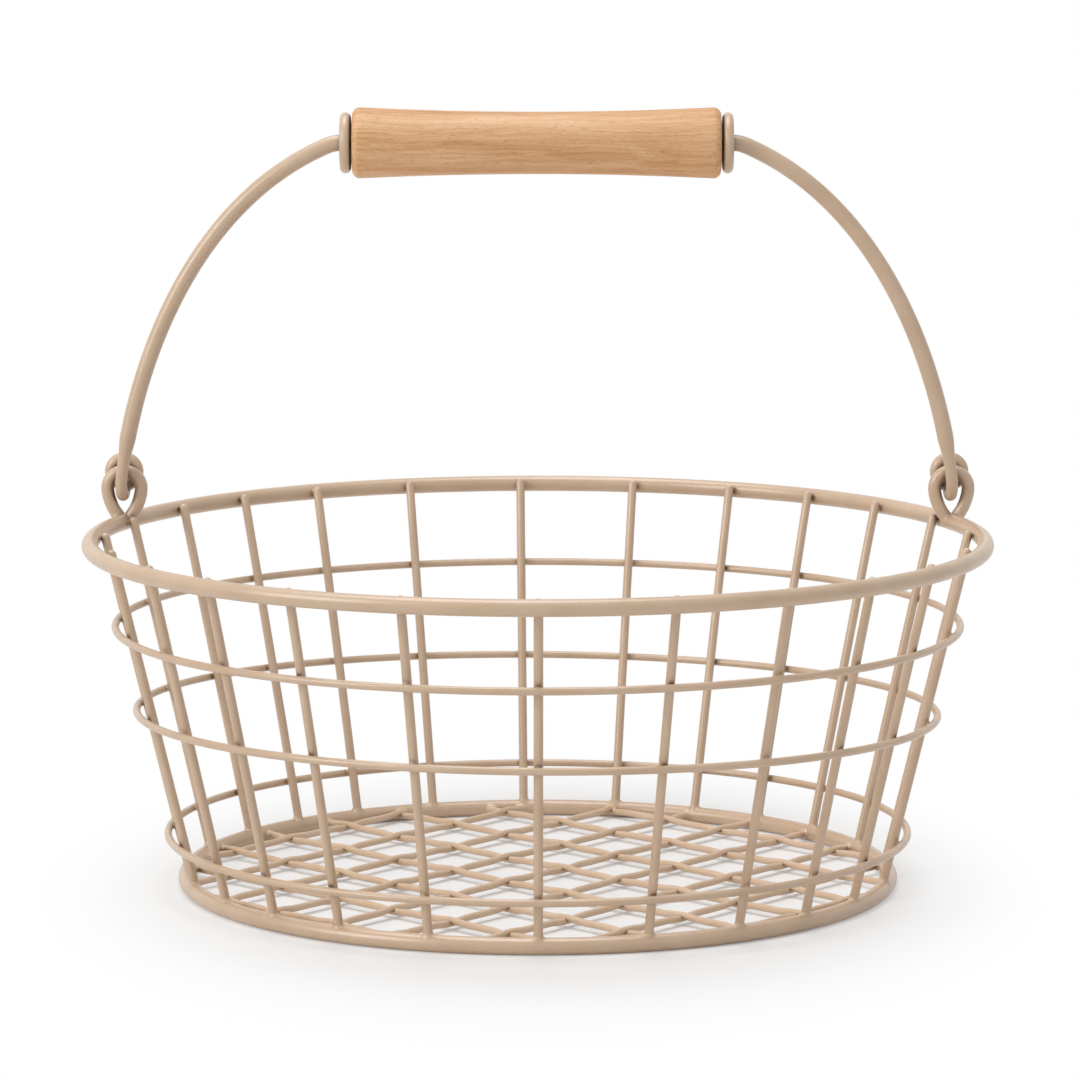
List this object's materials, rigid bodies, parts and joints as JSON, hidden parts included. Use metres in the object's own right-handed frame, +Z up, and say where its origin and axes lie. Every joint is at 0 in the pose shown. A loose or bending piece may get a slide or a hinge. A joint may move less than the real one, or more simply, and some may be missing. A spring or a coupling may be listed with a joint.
{
  "type": "wire basket",
  "caption": "Round open wire basket with flared sides, a woven wire base and a swinging bail handle with a turned wooden grip.",
  "frame": {"origin": "on the floor, at the middle of the basket's round outline", "axes": "+Z up, +X to the basket's right, +Y to its back; the bail's hinge runs along X"},
  "size_m": [0.3, 0.3, 0.2542],
  "materials": {
    "coated_wire": "satin powder coat, warm beige",
    "beech": "smooth turned beech, clear matt finish"
  },
  "bodies": {
    "basket": {"base_ring": "coated_wire", "base_wire_left_1": "coated_wire", "base_wire_left_2": "coated_wire", "base_wire_left_3": "coated_wire", "base_wire_left_4": "coated_wire", "base_wire_left_5": "coated_wire", "base_wire_left_6": "coated_wire", "base_wire_left_7": "coated_wire", "base_wire_left_8": "coated_wire", "base_wire_right_1": "coated_wire", "base_wire_right_2": "coated_wire", "base_wire_right_3": "coated_wire", "base_wire_right_4": "coated_wire", "base_wire_right_5": "coated_wire", "base_wire_right_6": "coated_wire", "base_wire_right_7": "coated_wire", "base_wire_right_8": "coated_wire", "base_wire_right_9": "coated_wire", "ear_left": "coated_wire", "ear_right": "coated_wire", "hoop_lower": "coated_wire", "hoop_middle": "coated_wire", "hoop_upper": "coated_wire", "rim_ring": "coated_wire", "stave_01": "coated_wire", "stave_02": "coated_wire", "stave_03": "coated_wire", "stave_04": "coated_wire", "stave_05": "coated_wire", "stave_06": "coated_wire", "stave_07": "coated_wire", "stave_08": "coated_wire", "stave_09": "coated_wire", "stave_10": "coated_wire", "stave_11": "coated_wire", "stave_12": "coated_wire", "stave_13": "coated_wire", "stave_14": "coated_wire", "stave_15": "coated_wire", "stave_16": "coated_wire", "stave_17": "coated_wire", "stave_18": "coated_wire", "stave_19": "coated_wire", "stave_20": "coated_wire", "stave_21": "coated_wire", "stave_22": "coated_wire", "stave_23": "coated_wire", "stave_24": "coated_wire"},
    "bail": {"bail": "coated_wire", "collar_left": "coated_wire", "collar_right": "coated_wire"},
    "grip": {"grip": "beech"}
  },
  "joints": [
    {"name": "bail_swing", "type": "hinge", "parent": "basket", "child": "bail", "pos_m": [-0.0004, 0.04672, 0.13115], "axis": [1, 0, 0], "range_deg": [-18, 122]},
    {"name": "grip_spin", "type": "hinge", "parent": "bail", "child": "grip", "pos_m": [-0.0004, 0.04147, 0.24235], "axis": [1, 0, 0], "continuous": true}
  ]
}
